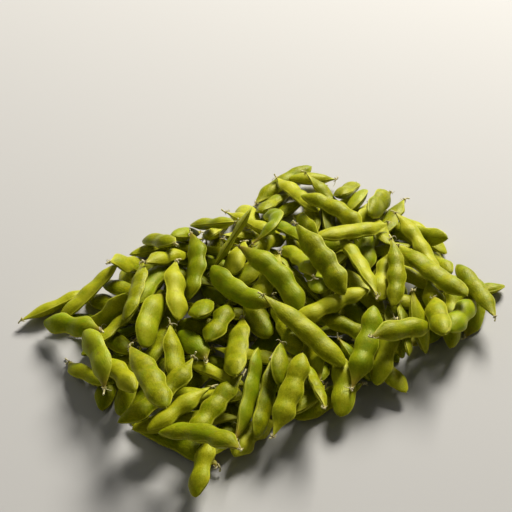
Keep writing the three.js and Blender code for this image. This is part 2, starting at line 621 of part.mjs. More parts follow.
// Pushes one contact apart, and holds it against sliding as far as friction allows.
function resolve(contact) {
  const { a, k, b, kb, n, reach } = contact;
  const ra = armOf(a, k).map((v, i) => v - n[i] * a.balls[k].r);
  const rb = b ? armOf(b, kb).map((v, i) => v + n[i] * b.balls[kb].r) : null;
  const apart = (whole) => {
    const da = displacement(a, ra, whole);
    const db = b ? displacement(b, rb, whole) : [0, 0, 0];
    return da.map((v, i) => v - db[i]);
  };
  const pushAlong = (direction, amount) => {
    const ea = response(a, ra, direction);
    const eb = b ? response(b, rb, direction) : null;
    const size = amount / (ea.give + (eb ? eb.give : 0));
    push(a, direction, ea.twist, size);
    if (b) push(b, direction, eb.twist, -size);
  };
  const left = Math.min(contact.wall ? WALL_PUSH : MOST_PUSH, reach - dot(apart(false), n));
  if (left > 0) {
    pushAlong(n, left * FIRMNESS);
    contact.pressed += left * FIRMNESS;
  }
  if (contact.pressed === 0) return;
  const slide = apart(true);
  const along = dot(slide, n);
  const skid = slide.map((v, i) => v - along * n[i]);
  const length = Math.sqrt(dot(skid, skid));
  if (length < NO_SKID) return;
  const holding = skid.map((v) => -v / length);
  pushAlong(holding, Math.min(length, FRICTION * contact.pressed));
}

// ---- the heap -----------------------------------------------------------------------------------

// A number from 0 to 1 for pod i and use k: the same on every run.
function chance(i, k) {
  const x = Math.sin(i * 12.9898 + k * 78.233) * 43758.5453;
  return x - Math.floor(x);
}

// The order in which kinds are met among the lower pods.
const LOWER_KINDS = [
  'three_straight', 'two_straight', 'three_bent', 'two_bent', 'three_slim', 'one_bean', 'two_straight',
  'three_straight', 'flat_young', 'two_bent', 'three_bent',
];

function pourLowerPods(heap) {
  const cells = CELLS_LONG * CELLS_SHORT;
  for (let i = 0; i < cells * PODS_PER_CELL; i++) {
    const name = LOWER_KINDS[i % LOWER_KINDS.length];
    const column = i % CELLS_LONG;
    const row = Math.floor(i / CELLS_LONG) % CELLS_SHORT;
    const at = new THREE.Vector3(
      (HEAP_LONG / CELLS_LONG) * (column + 0.5 + SCATTER * (chance(i, 1) - 0.5)) - HEAP_LONG / 2,
      (HEAP_SHORT / CELLS_SHORT) * (row + 0.5 + SCATTER * (chance(i, 2) - 0.5)) - HEAP_SHORT / 2,
      0,
    );
    const roll = (chance(i, 4) - 0.5) * ROLLS;
    const pitch = (chance(i, 5) - 0.5) * PITCHES;
    const heading = chance(i, 3) * 2 * Math.PI;
    const turn = new THREE.Quaternion().setFromEuler(new THREE.Euler(roll, pitch, heading, 'ZYX'));
    const scale = SMALLEST + SIZES * chance(i, 6);
    const pod = heap.add({ name, kind: KINDS[name], scale, at, turn });
    heap.lay(pod);
  }
  heap.run(POURING, { walls: true });
}

// Lays the listed pods on the heap one after another, each kept near its place until all are down.
function layUpperPods(heap) {
  const laid = [...NESTLED, ...TOPMOST].map((line, i) => {
    const pod = heap.add({ ...laidOut(line), top: i >= NESTLED.length });
    for (let k = 0; k < 3; k++) {
      heap.lay(pod);
      toSight(pod, 1);
    }
    heap.lay(pod);
    heap.run(LAYING, { damping: KEPT, near: pod });
    return pod;
  });
  heap.run(GRIPPED, { damping: KEPT });
  for (const pod of laid) pod.hold.grip = LOOSE_GRIP;
  heap.run(LOOSELY_GRIPPED, { damping: KEPT });
  for (const pod of laid) pod.hold = null;
  heap.run(FREE, { damping: KEPT_FREE });
}

// The nearest two balls of two pods, thick ones first, and the gap between the pods there.
function nearest(a, b) {
  const best = { a, b, cost: Infinity };
  a.balls.forEach((ballA, i) => {
    b.balls.forEach((ballB, j) => {
      const gap = a.placed[i].distanceTo(b.placed[j]) - ballA.r - ballB.r + GAP;
      const cost = gap + (Math.min(ballA.r, ballB.r) < THIN_BALL ? THIN_COST : 0);
      if (cost < best.cost) Object.assign(best, { cost, gap, from: a.placed[i], to: b.placed[j] });
    });
  });
  return best;
}

// Sorts the lower pods into groups of neighbours that touch one another, one group around each cell.
function groupsOf(pods) {
  for (const pod of pods) pod.placed = podArms(pod).map((arm) => arm.add(pod.at));
  const pairs = [];
  pods.forEach((a, i) => {
    for (const b of pods.slice(i + 1)) {
      if (a.at.distanceTo(b.at) < LONGEST) pairs.push(nearest(a, b));
    }
  });
  pairs.sort((p, q) => p.cost - q.cost);
  const groups = [];
  for (let row = 0; row < CELLS_SHORT; row++) {
    for (let column = 0; column < CELLS_LONG; column++) {
      const x = (HEAP_LONG / CELLS_LONG) * (column + 0.5) - HEAP_LONG / 2;
      const y = (HEAP_SHORT / CELLS_SHORT) * (row + 0.5) - HEAP_SHORT / 2;
      const away = (pod) => Math.hypot(pod.at.x - x, pod.at.y - y);
      const seed = pods.filter((pod) => !pod.group).sort((p, q) => away(p) - away(q))[0];
      const group = { name: `lower_pods_${'abcd'[column]}${row + 1}`, pods: [seed], links: [], away };
      seed.group = group;
      groups.push(group);
    }
  }
  const join = (group, pair) => {
    const pod = pair.a.group ? pair.b : pair.a;
    pod.group = group;
    group.pods.push(pod);
    group.links.push(pair);
  };
  for (const limit of LINK_ROUNDS) {
    for (let grown = true; grown; ) {
      grown = false;
      groups.sort((g, h) => g.pods.length - h.pods.length);
      for (const group of groups) {
        const open = pairs.filter((p) => p.cost < limit && !p.a.group !== !p.b.group);
        const mine = open.filter((p) => (p.a.group || p.b.group) === group);
        if (!mine.length) continue;
        mine.sort((p, q) => group.away(p.a.group ? p.b : p.a) - group.away(q.a.group ? q.b : q.a));
        join(group, mine[0]);
        grown = true;
        break;
      }
    }
  }
  return groups;
}

// ---- meshes -------------------------------------------------------------------------------------

const GREENS = [0x8ea32c, 0x7d9a28, 0x9fac38, 0x6b8a24];
const SHADED_GREEN = 0x5c7a20;
const WELD = 1e-4; // mm: corners nearer than this are one

const wasm = await Module();
wasm.setup();

// A closed geometry as a solid that can be joined to others.
function solidOf(geometry) {
  geometry.deleteAttribute('normal');
  geometry.deleteAttribute('uv');
  const merged = mergeVertices(geometry, WELD);
  const vertProperties = merged.attributes.position.array;
  const triVerts = new Uint32Array(merged.index.array);
  return new wasm.Manifold(new wasm.Mesh({ numProp: 3, vertProperties, triVerts }));
}

function podSolid(pod) {
  const size = new THREE.Vector3().setScalar(pod.scale);
  const place = new THREE.Matrix4().compose(pod.at, pod.turn, size);
  return solidOf(podGeometry(pod.kind).applyMatrix4(place));
}

// The contact patch between two lower pods: a short square peg from inside one to inside the other.
function pegSolid({ from, to }) {
  const along = to.clone().sub(from);
  const up = new THREE.Vector3(0, 0, 1);
  const turn = new THREE.Quaternion().setFromUnitVectors(up, along.clone().normalize());
  const middle = from.clone().addScaledVector(along, 0.5);
  const place = new THREE.Matrix4().compose(middle, turn, new THREE.Vector3(1, 1, 1));
  return solidOf(new THREE.BoxGeometry(LINK, LINK, along.length()).applyMatrix4(place));
}

function meshOf(name, geometry, color) {
  const finish = { color, roughness: 0.45, metalness: 0, flatShading: true };
  const material = new THREE.MeshStandardMaterial(finish);
  const mesh = new THREE.Mesh(geometry, material);
  mesh.name = name;
  return mesh;
}

// One of the topmost pods, where it came to rest.
function podMesh(pod, number) {
  const name = `pod_${String(number).padStart(2, '0')}`;
  const color = GREENS[Math.floor(chance(number - 1, 7) * GREENS.length)];
  const mesh = meshOf(name, podGeometry(pod.kind), color);
  mesh.position.copy(pod.at);
  mesh.quaternion.copy(pod.turn);
  mesh.scale.setScalar(pod.scale);
  return mesh;
}

// A group of the pods underneath, joined where they touch.
function lowerMesh({ name, pods, links }) {
  const solid = wasm.Manifold.union([...pods.map(podSolid), ...links.map(pegSolid)]);
  const { vertProperties, triVerts } = solid.getMesh();
  const geometry = new THREE.BufferGeometry();
  geometry.setAttribute('position', new THREE.BufferAttribute(new Float32Array(vertProperties), 3));
  geometry.setIndex([...triVerts]);
  return meshOf(name, geometry, SHADED_GREEN);
}

function settledHeap() {
  const heap = new Heap();
  pourLowerPods(heap);
  layUpperPods(heap);
  heap.run(PARTING, { gravity: 0, damping: 0 });
  return heap;
}

function build() {
  const { pods } = settledHeap();
  const topmost = pods.filter((pod) => pod.top);
  const lower = pods.filter((pod) => !pod.top);
  const placed = new THREE.Group();
  topmost.forEach((pod, i) => placed.add(podMesh(pod, i + 1)));
  for (const group of groupsOf(lower)) placed.add(lowerMesh(group));
  const box = new THREE.Box3().setFromObject(placed, true);
  const middle = box.getCenter(new THREE.Vector3());
  placed.position.set(-middle.x, -middle.y, -box.min.z);
  const root = new THREE.Group();
  root.name = 'edamame_heap';
  root.add(placed);
  return root;
}

export default build();
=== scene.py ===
"""A heap of edamame pods.

Each pod of the frame is found again by its shape, and a fine one is drawn in its place.
"""

import math

import bmesh
import bpy
import numpy as np
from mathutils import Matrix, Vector


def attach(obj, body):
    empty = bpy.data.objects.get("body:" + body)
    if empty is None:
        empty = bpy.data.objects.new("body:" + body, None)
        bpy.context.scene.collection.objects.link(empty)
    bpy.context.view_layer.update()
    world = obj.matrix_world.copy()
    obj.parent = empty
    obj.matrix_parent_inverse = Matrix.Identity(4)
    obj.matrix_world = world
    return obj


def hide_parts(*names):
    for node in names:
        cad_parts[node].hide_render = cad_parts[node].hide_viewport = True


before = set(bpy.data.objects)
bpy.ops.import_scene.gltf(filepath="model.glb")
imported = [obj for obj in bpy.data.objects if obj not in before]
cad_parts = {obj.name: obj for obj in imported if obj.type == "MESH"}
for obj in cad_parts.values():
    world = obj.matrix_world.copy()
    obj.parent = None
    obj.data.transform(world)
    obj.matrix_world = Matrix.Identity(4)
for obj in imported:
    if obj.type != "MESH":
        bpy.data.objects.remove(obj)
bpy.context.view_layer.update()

MM = 0.001
CM_PER_MM = 0.1

# ---- the pods' proportions, as in the CAD, in millimetres and degrees ---------------------------

KINDS = {
    "one_bean": {"beans": 1, "length": 34, "width": 13.6, "thickness": 9.4, "turn": 12},
    "two_straight": {"beans": 2, "length": 47, "width": 13.4, "thickness": 9.2, "turn": 10},
    "two_bent": {"beans": 2, "length": 48, "width": 13.2, "thickness": 9.0, "turn": 34},
    "three_straight": {"beans": 3, "length": 58, "width": 13.2, "thickness": 8.8, "turn": 12},
    "three_bent": {"beans": 3, "length": 60, "width": 13.4, "thickness": 9.0, "turn": 46},
    "three_slim": {"beans": 3, "length": 57, "width": 11.4, "thickness": 7.6, "turn": 22},
    "flat_young": {"beans": 2, "length": 46, "width": 13.0, "thickness": 5.8, "turn": 18},
    "curled": {"beans": 3, "length": 58, "width": 12.4, "thickness": 8.4, "turn": 128},
}

# Places along a pod, s, run from 0 at the calyx to 1 at the tip of the beak.
STALK_SHARE = 0.055  # length of the stalk stub before the calyx
BODY_START = 0.1
BODY_END = 0.95
SHOULDER = 0.02  # from the body's start to the first ring of corners after the calyx
BEAN_INSET = 0.06  # the beans' spaces start this much farther on than the body
BEAN_REACH = 0.36  # how far a bean's swelling spreads, as a share of the distance between beans
TAPER = 0.27  # the pod widens over this much of its length
TAPER_LEAD = 0.02  # and has begun to this far before the calyx
TAPER_CURVE = 1.2
NECK = 0.12  # width at the calyx, as a share of the full width
NECK_TO_FULL = 0.88  # and how much more it has once it has widened
BLUNT = 0.7  # where it starts to round off towards the beak
BLUNT_CURVE = 2.6
BLUNT_LEAST = 0.01

# Share of the full width and thickness between beans, and what a bean adds.
WAIST_WIDTH, BEAN_WIDTH = 0.86, 0.14
WAIST_THICKNESS, BEAN_THICKNESS = 0.58, 0.42

# The section's corners, as shares of half width and half thickness.
SECTION = [(1, 0), (0.42, 0.85), (-0.42, 0.85), (-1, 0), (-0.42, -0.85), (0.42, -0.85)]


def bean_centres(kind):
    step = (BODY_END - BODY_START - BEAN_INSET) / kind["beans"]
    return [BODY_START + BEAN_INSET + (k + 0.5) * step for k in range(kind["beans"])]


def fullness(kind, s, centres=None, sizes=None):
    """1 over a bean, towards 0 between beans."""
    reach = BEAN_REACH * ((BODY_END - BODY_START) / kind["beans"])
    centres = centres or bean_centres(kind)
    sizes = sizes or [1] * len(centres)
    total = sum(size * np.exp(-(((s - centre) / reach) ** 2)) for centre, size in zip(centres, sizes))
    return np.minimum(1, total)


def envelope(s):
    """Width along the pod without its waists, as a share of the full width."""
    near = np.clip((s + TAPER_LEAD) / TAPER, 0, 1)
    far = np.maximum(0, (s - BLUNT) / (1 - BLUNT))
    taper = NECK + NECK_TO_FULL * np.sin(near * np.pi / 2) ** TAPER_CURVE
    return taper * np.sqrt(np.maximum(BLUNT_LEAST, 1 - far**BLUNT_CURVE))


def spine(kind, s):
    """Points of the middle line, an arc, and the sideways direction there."""
    turn = math.radians(kind["turn"])
    angle = turn * (s - 0.5)
    radius = kind["length"] / turn
    middle = radius * (1 - (2 / turn) * math.sin(turn / 2))
    point = np.stack([radius * np.sin(angle), radius * (1 - np.cos(angle)) - middle, 0 * angle], -1)
    side = np.stack([-np.sin(angle), np.cos(angle), 0 * angle], -1)
    return point, side


def template(kind):
    """The corners of the CAD's faceted pod, its stalk end and its beak last."""
    centres = bean_centres(kind)
    stations = [0, BODY_START + SHOULDER]
    for k, centre in enumerate(centres):
        stations.append(centre)
        if k + 1 < len(centres):
            stations.append((centre + centres[k + 1]) / 2)
    stations.append(BODY_END)
    points = []
    for s in stations:
        point, side = spine(kind, np.array(float(s)))
        full = fullness(kind, s)
        w = kind["width"] / 2 * envelope(s) * (WAIST_WIDTH + BEAN_WIDTH * full)
        t = kind["thickness"] / 2 * envelope(s) * (WAIST_THICKNESS + BEAN_THICKNESS * full)
        for across, rise in SECTION:
            points.append(point + side * w * across + np.array([0, 0, t * rise]))
    points.append(spine(kind, np.array(-STALK_SHARE))[0])
    points.append(spine(kind, np.array(1.0))[0])
    return np.array(points)


TEMPLATES = {name: template(kind) for name, kind in KINDS.items()}

# ---- finding the pods in the frame --------------------------------------------------------------

WELD = 3e-6  # corners this near each other, in metres, are one
CREASE = math.radians(32)  # two pods meet in an inner corner sharper than this, and no waist is so sharp
FEWEST_FACES = 30
LONGEST_GAPS = 0.95  # a pod's two ends are nearly its farthest corners
SMALLEST, LARGEST = 0.75, 1.3  # scales
LIKE = 0.08  # corners this near the right place, in mm, are worth trying
SAME = 0.03  # and are the same this near
LEAST_SHARE = 0.6  # of a pod's corners, for it to count as recognised


def pods_of(node):
    """The corner points, in millimetres, of each pod in a CAD node."""
    mesh = bmesh.new()
    mesh.from_mesh(node.data)
    bmesh.ops.remove_doubles(mesh, verts=mesh.verts, dist=WELD)
    mesh.normal_update()
    mesh.faces.ensure_lookup_table()
    seen = set()
    found = []
    for first in mesh.faces:
        if first.index in seen:
            continue
        seen.add(first.index)
        stack = [first]
        faces = []
        while stack:
            face = stack.pop()
            faces.append(face)
            for edge in face.edges:
                if len(edge.link_faces) != 2 or edge.calc_face_angle_signed(0) < -CREASE:
                    continue
                for other in edge.link_faces:
                    if other.index not in seen:
                        seen.add(other.index)
                        stack.append(other)
        if len(faces) >= FEWEST_FACES:
            corners = {v.index: tuple(v.co) for face in faces for v in face.verts}
            found.append(np.array([corners[k] for k in sorted(corners)]) / MM)
    mesh.free()
    return found


def basis(start, end, far):
    """Axes along start to end and towards far, as rows."""
    x = (end - start) / np.linalg.norm(end - start)
    y = far - start - x * np.dot(far - start, x)
    y = y / np.linalg.norm(y)
    return np.array([x, y, np.cross(x, y)])


def reach_along(points, start, end):
    """How far along the line from start to end each point lies, and how far off it."""
    x = (end - start) / np.linalg.norm(end - start)
    along = (points - start) @ x
    off = np.linalg.norm(points - start - along[:, None] * x, axis=1)
    return along, off


def fit(points):
    """The share of a pod's corners that these points match at best, and its kind, scale, turn and place."""
    gaps = np.linalg.norm(points[:, None] - points[None], axis=-1)
    ends = np.argwhere(gaps > LONGEST_GAPS * gaps.max())
    best = (0, None)
    for name, corners in TEMPLATES.items():
        stalk, beak = corners[-2], corners[-1]
        chord = np.linalg.norm(beak - stalk)
        along, off = reach_along(corners, stalk, beak)
        far = int(np.argmax(off))
        theirs = basis(stalk, beak, corners[far])
        for i, j in ends:
            scale = gaps[i, j] / chord
            if not SMALLEST < scale < LARGEST:
                continue
            my_along, my_off = reach_along(points, points[i], points[j])
            like = abs(my_along - along[far] * scale) + abs(my_off - off[far] * scale) < LIKE
            for k in np.flatnonzero(like):
                turn = basis(points[i], points[j], points[k]).T @ theirs
                place = points[i] - turn @ stalk * scale
                placed = corners @ turn.T * scale + place
                miss = np.linalg.norm(placed[:, None] - points[None], axis=-1).min(axis=1)
                share = float((miss < SAME).mean())
                if share > best[0]:
                    best = (share, {"kind": name, "scale": scale, "turn": turn, "place": place})
    return best


# ---- a pod's skin, in millimetres ---------------------------------------------------------------
# A pair of numbers in brackets is the least and the most that a pod may have.

UP = np.array([0, 0, 1.0])
FIRST_RING = 0.05  # of the half turn that spaces the rings, closest at the ends
TIP_END = 1.012  # the beak runs a little past the pod's end
TIP_START = 0.9  # from here on it keeps a least width
TIP_WIDTH = 0.1
TIP_BLUNT = 0.25  # and ends in this share of it

BEAN_SHIFT = 0.014  # a bean's centre from its even place, either way
BEAN_SIZES = (0.8, 1.08)
NECK_WIDTHS = (0.32, 0.72)  # what a neck keeps of its width at the calyx
NECK_LENGTHS = (0.26, 0.46)
POINTED = (0, 0.16)  # what the far end loses of its width
POINT_START = 0.62
POINT_CURVE = 1.6

SKIN_FULL = 0.94  # of the thickness, so that a rounded skin lies on the CAD's flat facets
SEAM_CROWD = 0.32  # how closely a ring's points crowd towards the seams
FLANK_CURVE, BEAN_FLANK = 1.0, 0.3  # power of the section's curve, and what a bean adds
SHALLOW = 0.12  # waist seen from the flat side, as a share of the width
DEEPEST = {1: 0.32, 2: 0.32, 3: 0.24}  # what the deepest adds, by the number of beans
DEEP_CURVE = 1.3
LOPSIDED = 0.15  # how much deeper it may be at one seam than at the middle
LEAST_WAIST = 0.01
HOLLOWS = (0.3, 0.48)  # waist seen from a seam, as a share of the thickness

FOLD_HALF = 1.0  # of the crease between two beans, along the pod
FOLD_DEPTH = 0.2
FOLD_PULL = 0.1  # how far a crease draws the seams in
FOLD_STRENGTHS = (0.2, 1)
FOLD_CURVE = 0.7  # how soon it fades towards the seams
BEAN_CURVE = 0.5  # how soon the painted highlight on a bean's bulge does

RIDGE = 0.5  # how far a seam stands out
RIDGES = (0.7, 1.2)  # shares of it
BACK_HALF = 0.45  # the back seam is one ridge
LIP_OFFSET, LIP_HALF = 0.5, 0.32  # the front seam is two lips, this far from its middle
GROOVE_HALF = 0.2  # with a groove between them
GROOVE_DEPTH = 0.5  # of the ridge
SEAM_IN, SEAM_OUT = 0.08, 0.05  # the seams rise and fade over these shares of the pod

WAVES = 5  # that make the skin a little uneven
WAVE_HEIGHT = 0.012
WAVE_TURNS = (1, 4)  # round the pod, less than the second
WAVE_COUNTS = (2, 14)  # radians along it
PHASES = (0, 7)
TWIST = 8  # degrees that an end may lean, either way
SNAKE = 0.45  # how far the middle line strays
HOOK = 1  # how far the beak bends aside
HOOK_START, HOOK_LENGTH = 0.96, 0.058

NECK_MARK = 0.14  # share of the pod that counts as its neck
DRY_STALK, DRY_TIP = 0.03, 0.012  # and that is dry at its ends
TIP_DRYNESS = 0.45


def outline_along(s, rng):
    """Half width along the pod, as a share of the full one, with its neck, point and beak."""
    neck_width = rng.uniform(*NECK_WIDTHS)
    near = np.clip(s / rng.uniform(*NECK_LENGTHS), 0, 1)
    neck = neck_width + (1 - neck_width) * near * near * (3 - 2 * near)
    beak = np.clip((TIP_END - s) / (TIP_END - 1), TIP_BLUNT, 1)
    far = np.clip((s - POINT_START) / (1 - POINT_START), 0, 1)
    lost = rng.uniform(*POINTED) * far**POINT_CURVE
    outline = envelope(np.minimum(s, 1)) * neck * (1 - lost)
    return np.maximum(outline, TIP_WIDTH * (s > TIP_START)) * beak


def folds_along(s, length, centres, rng):
    """The creases between the beans."""
    fold = np.zeros_like(s)
    for one, two in zip(centres, centres[1:]):
        away = (s - (one + two) / 2) * length / FOLD_HALF
        fold += np.exp(-(away**2)) * rng.uniform(*FOLD_STRENGTHS)
    return fold


def seams(off, front, body):
    """The ridges that stand out along both edges, and the groove in the front one."""
    groove = np.exp(-((off / GROOVE_HALF) ** 2)) * front * body
    lips = np.exp(-(((off - LIP_OFFSET) / LIP_HALF) ** 2)) * body
    back = np.exp(-((off / BACK_HALF) ** 2)) * body
    return np.where(front, lips, back), groove


def unevenness(theta, s, rng):
    """A few long waves over the skin, that no two pods share."""
    wave = 0
    for _ in range(WAVES):
        turns = rng.integers(*WAVE_TURNS)
        count = rng.uniform(*WAVE_COUNTS)
        wave = wave + np.sin(turns * theta + count * s[:, None] + rng.uniform(*PHASES))
    return wave


def skin_rings(kind, scale, rows, sides, rng):
    """The pod's skin in its own frame, and what its colour depends on at each point."""
    centres = [c + rng.uniform(-BEAN_SHIFT, BEAN_SHIFT) for c in bean_centres(kind)]
    sizes = [rng.uniform(*BEAN_SIZES) for _ in centres]
    u = np.linspace(0, 1, rows)
    s = TIP_END * (0.5 - 0.5 * np.cos(np.pi * (FIRST_RING + (1 - FIRST_RING) * u)))
    full = fullness(kind, s, centres, sizes)
    waist = 1 - full
    outline = outline_along(s, rng)
    fold = folds_along(s, kind["length"] * scale, centres, rng)

    phi = np.arange(sides) * 2 * np.pi / sides
    theta = (phi - SEAM_CROWD * np.sin(2 * phi))[None]
    cos, sin = np.cos(theta), np.sin(theta)
    flat = np.abs(sin)
    creased = fold[:, None] * flat**FOLD_CURVE
    pinch = SHALLOW + DEEPEST[kind["beans"]] * rng.uniform(0, 1) ** DEEP_CURVE
    pinch = np.maximum(LEAST_WAIST, pinch + rng.uniform(-LOPSIDED, LOPSIDED) * cos)
    half_width = kind["width"] / 2 * scale * outline
    w = half_width[:, None] * (1 - pinch * waist[:, None]) - FOLD_PULL * fold[:, None]
    swell = 1 - rng.uniform(*HOLLOWS) * waist
    t = kind["thickness"] / 2 * scale * outline * swell * SKIN_FULL
    t = t[:, None] - FOLD_DEPTH * creased

    body = (np.clip(s / SEAM_IN, 0, 1) * np.clip((1.0 - s) / SEAM_OUT, 0, 1))[:, None]
    seam, groove = seams(flat * t, cos > 0, body)
    wave = 1 + WAVE_HEIGHT * unevenness(theta, s, rng) * body
    ridge = np.sign(cos) * (seam - GROOVE_DEPTH * groove) * RIDGE
    y = cos * w * wave + ridge * rng.uniform(*RIDGES)
    z = np.sign(sin) * flat ** (FLANK_CURVE + BEAN_FLANK * full[:, None]) * t * wave

    lean = math.radians(rng.uniform(-TWIST, TWIST)) * (s - 0.5)[:, None] * 2
    across = y * np.cos(lean) - z * np.sin(lean)
    rise = y * np.sin(lean) + z * np.cos(lean)
    snake = rng.uniform(-SNAKE, SNAKE) * np.sin(2 * np.pi * s)
    hook = rng.uniform(-HOOK, HOOK) * np.maximum(0, (s - HOOK_START) / HOOK_LENGTH) ** 2
    across = across + (snake + hook)[:, None]
    point, side = spine(kind, s)
    points = point[:, None] * scale + side[:, None] * across[..., None] + UP * rise[..., None]

    every = np.ones((1, sides))
    dry = np.exp(-((s / DRY_STALK) ** 2)) + TIP_DRYNESS * np.exp(-(((TIP_END - s) / DRY_TIP) ** 2))
    marks = {
        "pod_seam": seam,
        "pod_groove": groove,
        "pod_bean": full[:, None] * flat**BEAN_CURVE,
        "pod_fold": creased,
        "pod_neck": np.exp(-((s / NECK_MARK) ** 2))[:, None] * every,
        "pod_dry": dry[:, None] * every,
    }
    return points.reshape(-1, 3), {name: mark.reshape(-1) for name, mark in marks.items()}


# ---- stalks, sepals and threads, in millimetres -------------------------------------------------

FLOOR_GAP = 0.15  # left under anything thin that would dip into the floor
SKIN_GAP = FLOOR_GAP / 3  # and under a skin
THREAD_RISE, SEPAL_RISE = 0.2, 0.1  # above that, for the middle of a thread and of a sepal
CLEAR = 0.4  # a path this far from every neighbour is clear enough
NEARBY = 16  # neighbours farther off than this are left out

BALL_FIRST, BALL_LAST, BALLS = 0.04, 0.98, 16  # balls in a row along a pod, and places of the end ones
BALL_ROWS = (-1, -0.4, 0.4, 1)  # the rows' places across it
BALL_WAIST, BALL_BEAN = 0.6, 0.4  # their share of the thickness between beans, and what a bean adds
BALL_SPREAD = 0.9  # how much of the width they fill

STALK_ROOT = 0.012  # where the stalk starts, as a share of the pod
STALK_THICK = 0.64
STALK_LENGTHS = (2.4, 5.2)
STALK_BENDS = (0.3, 2.6)  # radians
STALK_PLACES = [0, 0.15, 0.6, 0.82, 0.95, 1]
STALK_SHAPE = [1.25, 0.95, 0.68, 0.82, 0.95, 0.7]
STALK_TRIES = 12
STALK_STEPS = 12
STALK_SIDES = 8
STALK_PALE, STALK_PALER = 0.3, 0.65  # at its root, and how much more at its end

SEPALS = 4
SEPAL_THICK = 0.36
SEPAL_SHAPE = np.array([1, 1.1, 0.9, 0.65, 0.4, 0.12])
SEPAL_LENGTHS = (1.3, 2.3)
SEPAL_BEND = 1.1
SEPAL_SWAY = 0.4  # radians from its even place round the stalk, either way
SEPAL_BACK = 0.3  # how far it sets out back along the pod
SEPAL_PALE = 0.3

THREAD_THICK = 0.3
THREAD_THIN = 0.6  # how much of that it loses towards its end
THREAD_LENGTHS = (2.0, 6.0)
THREAD_BENDS = (0.8, 4.8)
THREAD_TRIES = 5
THREAD_STEPS = 12
THREAD_PALE = 0.95

THREAD_ASIDE = (-1, 1)  # how it turns: round the stalk
THREAD_BACK = (-0.3, 1)  # back along the pod
THREAD_AHEAD = (-0.2, 1.2)  # and how far forward it sets out

ROOT_OFF = 0.3  # sepals and threads start this far from the stalk's middle
NO_PATH = (0.13, 0.31, 0.94)  # a direction that no path happens to take
THIN_SIDES = 5
CURL_CURVE = 1.4  # how much later a path bends than an arc


def unit(v):
    return v / np.linalg.norm(v)


def grid_faces(rows, sides, first=0):
    """The quads of a tube of rows rings, and its two end faces."""
    r, k = np.meshgrid(np.arange(rows - 1), np.arange(sides), indexing="ij")
    a = first + r * sides + k
    b = first + r * sides + (k + 1) % sides
    quads = np.stack([a, b, b + sides, a + sides], -1).reshape(-1, 4).tolist()
    start = list(range(first + sides - 1, first - 1, -1))
    last = first + (rows - 1) * sides
    return quads + [start, list(range(last, last + sides))]


def tube(path, radii, sides):
    """The rings of a thin tube along a path."""
    ahead = np.gradient(path, axis=0)
    ahead /= np.linalg.norm(ahead, axis=1)[:, None]
    one = np.cross(NO_PATH, ahead)
    one /= np.linalg.norm(one, axis=1)[:, None]
    two = np.cross(ahead, one)
    angle = np.arange(sides) * 2 * np.pi / sides
    cos, sin = np.cos(angle)[None, :, None], np.sin(angle)[None, :, None]
    rings = path[:, None] + (one[:, None] * cos + two[:, None] * sin) * radii[:, None, None]
    return rings.reshape(-1, 3)


def curl(start, one, two, length, bend, steps):
    """A path that sets out along one and turns towards two, by bend radians in all."""
    angle = bend * np.linspace(0, 1, steps)[1:, None] ** CURL_CURVE
    moves = (np.cos(angle) * one + np.sin(angle) * two) * length / (steps - 1)
    return np.vstack([start, start + np.cumsum(moves, axis=0)])


class Heap:
    """All the pods as balls, to keep stalks and threads clear of them."""

    def __init__(self, pods):
        balls = []
        owners = []
        for number, pod in enumerate(pods):
            kind, scale = KINDS[pod["kind"]], pod["scale"]
            s = np.linspace(BALL_FIRST, BALL_LAST, BALLS)
            point, side = spine(kind, s)
            share = BALL_WAIST + BALL_BEAN * fullness(kind, s)
            radius = kind["thickness"] / 2 * scale * envelope(s) * share
            spread = kind["width"] / 2 * scale * envelope(s) * BALL_SPREAD - radius
            for row in BALL_ROWS:
                centres = point * scale + side * (spread * row)[:, None]
                centres = centres @ pod["turn"].T + pod["place"]
                balls.append(np.hstack([centres, radius[:, None]]))
                owners += [number] * len(s)
        self.balls = np.vstack(balls)
        self.owners = np.array(owners)

    def around(self, place, owner):
        near = np.linalg.norm(self.balls[:, :3] - place, axis=1) < NEARBY
        return self.balls[near & (self.owners != owner)]


def clearance(path, balls):
    """How far a path stays from the balls around it, less than nothing where it enters one."""
    low = float(path[:, 2].min()) - FLOOR_GAP
    if not len(balls):
        return low
    gaps = np.linalg.norm(path[:, None] - balls[None, :, :3], axis=-1) - balls[None, :, 3]
    return min(low, float(gaps.min()))


def lifted(path, least):
    """The path, no lower than least."""
    path[:, 2] = np.maximum(path[:, 2], least)
    return path


def clearest(paths, balls):
    """The path that stays clearest, lifted off the floor where it dips into it."""
    best = max(paths, key=lambda path: min(CLEAR, clearance(path, balls)))
    return lifted(best, FLOOR_GAP + THREAD_RISE)


def any_way(one, two, rng):
    """A direction square to the pod's length, anywhere round it."""
    angle = rng.uniform(0, 2 * np.pi)
    return one * math.cos(angle) + two * math.sin(angle)


def stalk(base, ahead, across, over, balls, scale, rng):
    """The dry stub, which hooks aside, as (path, radii, sides, paleness)."""
    length = rng.uniform(*STALK_LENGTHS)
    bend = rng.uniform(*STALK_BENDS)
    tries = []
    for _ in range(STALK_TRIES):
        tries.append(curl(base, ahead, any_way(across, over, rng), length, bend, STALK_STEPS))
    along = np.linspace(0, 1, STALK_STEPS)
    radii = STALK_THICK * scale * np.interp(along, STALK_PLACES, STALK_SHAPE)
    return clearest(tries, balls), radii, STALK_SIDES, STALK_PALE + STALK_PALER * along


